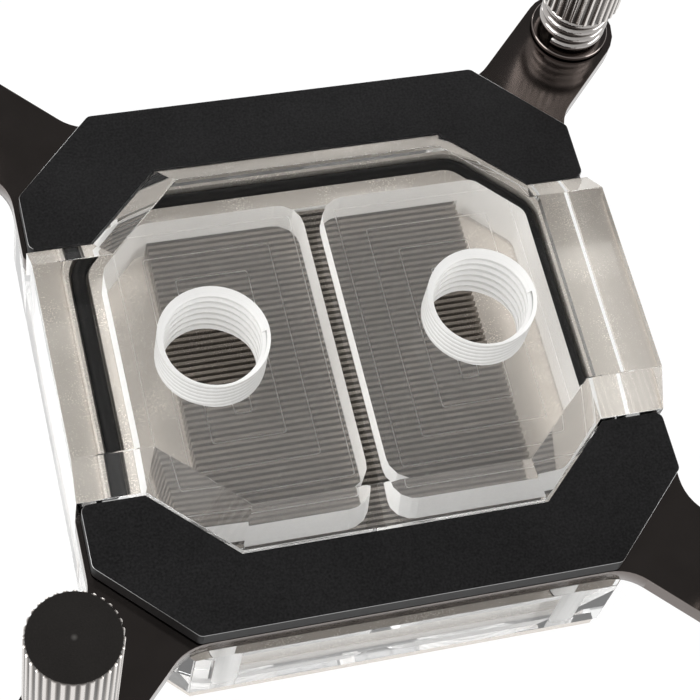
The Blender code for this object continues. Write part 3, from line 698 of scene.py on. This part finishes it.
def makeSoftenedPlate(nodeName, name, materials, width):
    # the CAD plate with fine rounded rims; a second material goes on the upper rim outside
    rimAngle = radians(40)
    slantLow, slantHigh = 0.3, 0.95
    bm = mergedCopy(nodeName)
    sharp = [edge for edge in bm.edges if edge.calc_face_angle(0.0) > rimAngle]
    bevelEdges(bm, sharp, width, segments=1 if len(materials) > 1 else 2)
    if len(materials) > 1:
        for face in bm.faces:
            center = face.calc_center_median()
            outward = face.normal.x * center.x + face.normal.y * center.y
            if slantLow < face.normal.z < slantHigh and outward > 0:
                face.material_index = 1
    piece = newPiece(name, bm, "block", materials, smoothAngle=35)
    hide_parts(nodeName)


def makeCoversAndBrackets():
    rims = {"cover": 0.14 * mm, "bracket": 0.10 * mm}
    coverLooks = [finishes["cover"], finishes["coverEdge"]]
    bracketLooks = [finishes["bracket"]]
    for end in ("front", "back"):
        makeSoftenedPlate(end + "_cover", end + "Cover", coverLooks, rims["cover"])
        makeSoftenedPlate(end + "_bracket", end + "Bracket", bracketLooks, rims["bracket"])


def fluteRadius(head):
    # outer radius at an angle: narrow lands with a rounded groove between each two
    def radiusAt(direction):
        angle = direction.to_2d().angle_signed(Vector((1.0, 0.0)), 0.0)
        phase = (angle / (2 * pi) * head["flutes"]) % 1.0
        across = (phase - 0.5) / (head["grooveShare"] / 2)
        if abs(across) >= 1.0:
            return head["radius"]
        return head["radius"] - head["grooveDepth"] * cos(across * pi / 2)
    return radiusAt


def addTipThread(bm, shank, low, high):
    # a helical ridge round the tip
    thread = {
        "pitch": 0.7 * mm, "steps": 24, "sink": 0.05 * mm, "halfShare": 0.3, "start": 0.45 * mm, "stop": 0.9 * mm,
    }
    start = low + thread["start"]
    turns = (high - thread["stop"] - start) / thread["pitch"]
    count = round(turns * thread["steps"])
    foot = shank["root"] - thread["sink"]
    half = thread["halfShare"] * thread["pitch"]
    profile = [(foot, start - half), (shank["tip"], start), (foot, start + half)]
    face = bm.faces.new([bm.verts.new((radius, 0.0, height)) for radius, height in profile])
    bmesh.ops.spin(
        bm, geom=[face], cent=(0.0, 0.0, 0.0), axis=(0.0, 0.0, 1.0),
        dvec=(0.0, 0.0, turns * thread["pitch"] / count),
        angle=2 * pi * turns, steps=count, use_duplicate=False,
    )
    ridge = [item for item in bm.faces if len(item.verts) <= 4]
    bmesh.ops.recalc_face_normals(bm, faces=ridge)


def makeThumbScrew(corner):
    head = {
        "radius": 5.0 * mm, "flutes": 32, "stepsPerFlute": 8, "grooveShare": 0.70, "grooveDepth": 0.22 * mm,
        "chamfer": 0.16 * mm, "flat": 4.77 * mm, "height": 17.8 * mm,
    }
    shank = {
        "radius": 2.2 * mm, "neck": 1.6 * mm, "clipGroove": 1.2 * mm,
        "tip": 1.9 * mm, "root": 1.55 * mm, "tipLength": 5.0 * mm, "shoulder": 0.4 * mm, "point": 0.3 * mm,
    }
    low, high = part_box("thumb_screw_" + corner)
    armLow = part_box("front_bracket")[0][2]
    top = high[2]
    bottom = top - head["height"]
    grooveLow = armLow - shank["clipGroove"]
    tipTop = low[2] + shank["tipLength"]
    stations = [
        (head["flat"], top),
        (head["radius"], top - head["chamfer"]),
        (head["radius"], bottom + head["chamfer"]),
        (head["flat"], bottom),
        (shank["radius"], bottom),
        (shank["radius"], armLow),
        (shank["neck"], armLow),
        (shank["neck"], grooveLow),
        (shank["radius"], grooveLow),
        (shank["radius"], tipTop),
        (shank["root"], tipTop - shank["shoulder"]),
        (shank["root"], low[2] + shank["point"]),
        (shank["root"] - shank["point"], low[2]),
    ]
    bm = bmesh.new()
    for ring in followStations(bm, stations, head["flutes"] * head["stepsPerFlute"], fluteRadius(head)):
        bmesh.ops.contextual_create(bm, geom=ring)
    bmesh.ops.recalc_face_normals(bm, faces=bm.faces)
    addTipThread(bm, shank, low[2], tipTop)
    moveToCorner(bm, corner)
    for face in bm.faces:
        if face.normal.z > 0.99 and face.calc_center_median().z > top - 0.01 * mm:
            face.material_index = 1
    name = "thumbScrew_" + corner
    materials = [finishes["fluted"], finishes["darkTurned"]]
    piece = newPiece(name, bm, "thumb_" + corner, materials, smoothAngle=32)
    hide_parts("thumb_screw_" + corner)


def makeSpring(corner):
    coil = {
        "wire": 0.6 * mm, "radius": 3.8 * mm, "turns": 3.25, "start": 215, "travel": 1.0 * mm,
        "sides": 16, "stepsPerTurn": 44,
    }
    low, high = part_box("spring_" + corner)
    bottom = low[2] + coil["wire"]
    rise = high[2] - low[2] - 2 * coil["wire"]
    count = round(coil["turns"] * coil["stepsPerTurn"])
    bm = bmesh.new()
    ring = bmesh.ops.create_circle(bm, cap_ends=True, segments=coil["sides"], radius=coil["wire"])["verts"]
    bmesh.ops.rotate(bm, verts=ring, matrix=Matrix.Rotation(radians(90), 3, "X"))
    bmesh.ops.translate(bm, verts=ring, vec=(coil["radius"], 0.0, bottom))
    bmesh.ops.spin(
        bm, geom=list(bm.faces), cent=(0.0, 0.0, 0.0), axis=(0.0, 0.0, 1.0), dvec=(0.0, 0.0, rise / count),
        angle=2 * pi * coil["turns"], steps=count, use_duplicate=False,
    )
    bmesh.ops.rotate(bm, verts=bm.verts, matrix=Matrix.Rotation(radians(coil["start"]), 3, "Z"))
    bmesh.ops.recalc_face_normals(bm, faces=bm.faces)
    moveToCorner(bm, corner)
    name = "coilSpring_" + corner
    piece = newPiece(name, bm, "press_" + corner, [finishes["spring"]], smoothAngle=50)
    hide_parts("spring_" + corner)
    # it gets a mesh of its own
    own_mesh(piece)


def makeSpringSeat(corner):
    seat = {"radius": 5.0 * mm, "hole": 2.5 * mm, "edge": 0.1 * mm, "segments": 72}
    low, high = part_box("spring_seat_" + corner)
    stations = [
        (seat["radius"], low[2]),
        (seat["radius"], high[2] - seat["edge"]),
        (seat["radius"] - seat["edge"], high[2]),
        (seat["hole"] + seat["edge"], high[2]),
        (seat["hole"], high[2] - seat["edge"]),
        (seat["hole"], low[2]),
        (seat["radius"], low[2]),
    ]
    bm = bmesh.new()
    followStations(bm, stations, seat["segments"])
    bmesh.ops.remove_doubles(bm, verts=bm.verts, dist=0.001 * mm)
    bmesh.ops.recalc_face_normals(bm, faces=bm.faces)
    moveToCorner(bm, corner)
    piece = newPiece("springSeat_" + corner, bm, "block", [finishes["bracket"]], smoothAngle=35)
    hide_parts("spring_seat_" + corner)


def paintNode(nodeName, material):
    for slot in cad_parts[nodeName].material_slots:
        slot.link = "OBJECT"
        slot.material = material


makeClearTop()
print("clear top made")
makeSealRing()
makeCoversAndBrackets()
print("seal, covers and brackets made")
for corner in corners:
    makeThumbScrew(corner)
    makeSpring(corner)
    makeSpringSeat(corner)
    paintNode("clamp_screw_" + corner, finishes["screw"])
    paintNode("retaining_clip_" + corner, finishes["spring"])
paintNode("cold_plate", finishes["plate"])
print("thumb screws and springs made")


# Studio

def makeFloor():
    ground = {
        "halfSize": 1.5, "drop": 0.05 * mm, "roughness": 0.9, "glow": 1.03, "glowShare": 0.94,
        "dark": (0.90, 0.90, 0.90), "light": (0.94, 0.94, 0.94), "grain": 60.0, "cloud": 0.5,
    }
    bm = bmesh.new()
    bmesh.ops.create_grid(bm, x_segments=1, y_segments=1, size=ground["halfSize"])
    bmesh.ops.translate(bm, verts=bm.verts, vec=(0.0, 0.0, -ground["drop"]))
    mesh = meshFrom("floor", bm)
    constants = {"Roughness": ground["roughness"], "Specular IOR Level": 0.0}
    material, tree, shader = newMaterial("floorWhite", constants)
    grain = useGrain(tree, ground, -700, 0)
    tree.links.new(grainColor(tree, grain, ground), shader.inputs["Base Color"])
    # seen straight or in a mirror the floor glows a little, and keeps the object's shadow
    lightPath = addNode(tree, "ShaderNodeLightPath", -700, 500)
    seen = mathNode(tree, "MAXIMUM", lightPath.outputs["Is Camera Ray"], lightPath.outputs["Is Glossy Ray"], -500, 500)
    seen = mathNode(tree, "MAXIMUM", seen, lightPath.outputs["Is Transmission Ray"], -350, 500)
    glow = addNode(tree, "ShaderNodeEmission", 0, 400)
    glow.inputs["Color"].default_value = (1.0, 1.0, 1.0, 1.0)
    glow.inputs["Strength"].default_value = ground["glow"]
    both = addNode(tree, "ShaderNodeMixShader", 350, 200)
    share = mathNode(tree, "MULTIPLY", seen, ground["glowShare"], 150, 500)
    tree.links.new(share, both.inputs["Fac"])
    tree.links.new(shader.outputs["BSDF"], both.inputs[1])
    tree.links.new(glow.outputs["Emission"], both.inputs[2])
    tree.links.new(both.outputs["Shader"], tree.nodes["Material Output"].inputs["Surface"])
    mesh.materials.append(material)
    floor = linkedObject("floor", mesh)


def dimToward(tree, direction, spot, x, y):
    # a factor that falls to the spot's level where the world's direction nears the spot
    near = addNode(tree, "ShaderNodeVectorMath", x, y, operation="DOT_PRODUCT")
    tree.links.new(direction, near.inputs[0])
    near.inputs[1].default_value = Vector(spot["toward"]).normalized()
    factor = valueRange(tree, near.outputs["Value"], 1.0, spot["level"], x + 180, y, spot["outer"], spot["inner"])
    factor.node.interpolation_type = "SMOOTHSTEP"
    return factor


def makeWorld():
    # a pale tent, dim where flat tops are mirrored to the camera and low down behind the camera
    look = {
        "horizon": (1.0, 1.0, 1.0), "ceiling": (0.88, 0.88, 0.88), "fade": (0.32, 0.62),
        "mirrored": {"toward": (0.21, 0.415, 0.885), "level": 0.13, "inner": 0.93, "outer": 0.78},
        "behind": {"toward": (-0.10, -0.86, 0.35), "level": 0.85, "inner": 0.85, "outer": 0.60},
    }
    world = bpy.data.worlds.new("studio")
    world.use_nodes = True
    tree = world.node_tree
    background = tree.nodes["Background"]
    coord = addNode(tree, "ShaderNodeTexCoord", -900, 0)
    direction = coord.outputs["Generated"]
    split = addNode(tree, "ShaderNodeSeparateXYZ", -700, 0)
    tree.links.new(direction, split.inputs["Vector"])
    stops = zip(look["fade"], (look["horizon"], look["ceiling"]))
    color = colorRamp(tree, split.outputs["Z"], list(stops), -450, 0)
    overhead = dimToward(tree, direction, look["mirrored"], -700, -250)
    behind = dimToward(tree, direction, look["behind"], -700, -500)
    level = mathNode(tree, "MULTIPLY", overhead, behind, -300, -350)
    dimmed = addNode(tree, "ShaderNodeVectorMath", -150, 0, operation="SCALE")
    tree.links.new(color, dimmed.inputs[0])
    tree.links.new(level, dimmed.inputs["Scale"])
    tree.links.new(dimmed.outputs["Vector"], background.inputs["Color"])
    background.inputs["Strength"].default_value = 1.0
    bpy.context.scene.world = world


def makeLamps():
    lamps = {
        "leftPanel": {"place": (-0.85, 0.05, 0.52), "size": (0.65, 0.65), "power": 5.4},
        "rightPanel": {"place": (0.78, -0.42, 0.42), "size": (0.60, 0.45), "power": 3.4},
        "backPanel": {"place": (0.10, 0.95, 0.22), "size": (1.20, 0.35), "power": 5.0},
    }
    target = Vector((0.0, 0.0, 0.01))
    for name, lamp in lamps.items():
        data = bpy.data.lights.new(name, "AREA")
        data.shape = "RECTANGLE"
        data.size, data.size_y = lamp["size"]
        data.energy = lamp["power"]
        item = linkedObject(name, data)
        item.location = lamp["place"]
        item.rotation_euler = (target - item.location).to_track_quat("-Z", "Y").to_euler()


def makeCamera():
    # the focal length is in pixels of an image 700 pixels wide
    view = {
        "place": (-0.05844, -0.11458, 0.24581), "turn": (28.070, -7.636, -13.510),
        "focalPixels": 2222.5, "imagePixels": 700.0, "sensor": 36.0, "nearest": 0.01,
    }
    data = bpy.data.cameras.new("camera")
    data.sensor_width = view["sensor"]
    data.lens = view["focalPixels"] / view["imagePixels"] * view["sensor"]
    data.clip_start = view["nearest"]
    camera = linkedObject("camera", data)
    camera.location = view["place"]
    camera.rotation_euler = Euler([radians(angle) for angle in view["turn"]], "XYZ")
    bpy.context.scene.camera = camera


makeFloor()
makeWorld()
makeLamps()
makeCamera()
bpy.context.scene.view_settings.view_transform = "Standard"
print("studio made")
